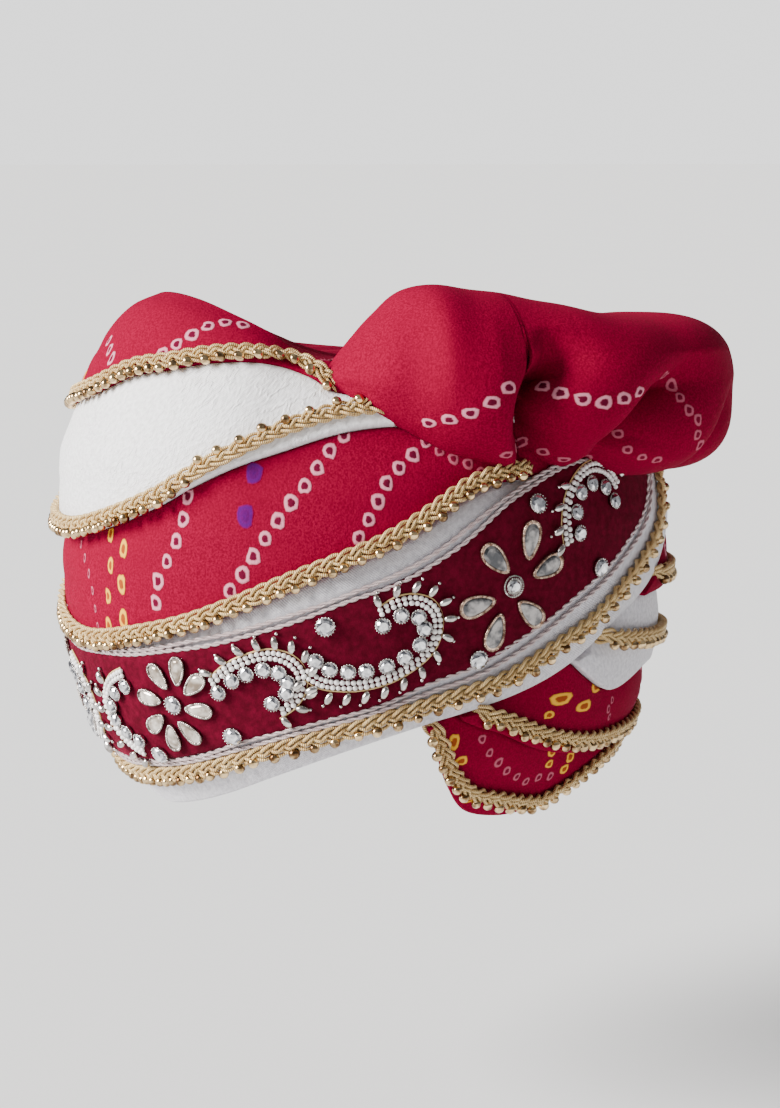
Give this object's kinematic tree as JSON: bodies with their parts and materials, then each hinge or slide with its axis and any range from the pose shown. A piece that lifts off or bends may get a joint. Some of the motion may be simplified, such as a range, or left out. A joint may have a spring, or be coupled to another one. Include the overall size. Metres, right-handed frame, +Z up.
{
  "type": "tied turban",
  "caption": "Pre-tied wedding turban: wraps of printed red and white brocade cloth round a hollow crown, braid-edged folds, a jewelled velvet border, nape tiers and a side puff.",
  "frame": {"origin": "centre of the head opening, level with the lowest edge of the wraps at the brow", "axes": "+Z up along the head, -Y the way that the wearer looks, +X the wearer's left"},
  "size_m": [0.2844, 0.3197, 0.2472],
  "materials": {
    "red_cloth": "crepe with small tie-dyed rings",
    "white_brocade": "figured brocade",
    "velvet": "matt velvet",
    "gold_braid": "plaited metallic thread with bright beads",
    "silver_cord": "twisted metallic cord",
    "cut_glass": "faceted and foiled",
    "pearl_glass": "pearly, in silver settings",
    "stone_vine": "faceted stones in notched settings on seed beads"
  },
  "bodies": {
    "root": {"crown_wrap": "red_cloth", "white_wrap": "white_brocade", "red_wrap": "red_cloth", "brow_wrap": "white_brocade", "nape_red_top": "red_cloth", "nape_white": "white_brocade", "nape_red_middle": "red_cloth", "nape_red_hem": "red_cloth", "trim_crown": "gold_braid", "trim_white": "gold_braid", "trim_red": "gold_braid", "trim_brow": "gold_braid", "trim_nape_red_top": "gold_braid", "trim_nape_white": "gold_braid", "trim_nape_red_middle": "gold_braid", "trim_nape_red_hem": "gold_braid", "velvet_border": "velvet", "silver_cord_low": "silver_cord", "silver_cord_high": "silver_cord", "brow_flower_centre": "cut_glass", "brow_flower_petal_1": "pearl_glass", "brow_flower_petal_2": "pearl_glass", "brow_flower_petal_3": "pearl_glass", "brow_flower_petal_4": "pearl_glass", "brow_flower_petal_5": "pearl_glass", "brow_flower_petal_6": "pearl_glass", "brow_flower_petal_7": "pearl_glass", "brow_flower_petal_8": "pearl_glass", "side_flower_centre": "cut_glass", "side_flower_petal_1": "cut_glass", "side_flower_petal_2": "cut_glass", "side_flower_petal_3": "cut_glass", "side_flower_petal_4": "cut_glass", "side_flower_petal_5": "cut_glass", "side_flower_petal_6": "cut_glass", "stone_brow_low": "cut_glass", "stone_brow_right": "cut_glass", "stone_middle_high": "cut_glass", "stone_side_low": "cut_glass", "stone_side_high": "cut_glass", "stone_back_low": "cut_glass", "vine_brow": "stone_vine", "vine_left_arch": "stone_vine", "vine_left_hook": "stone_vine", "vine_side": "stone_vine", "puff": "red_cloth"}
  },
  "joints": []
}
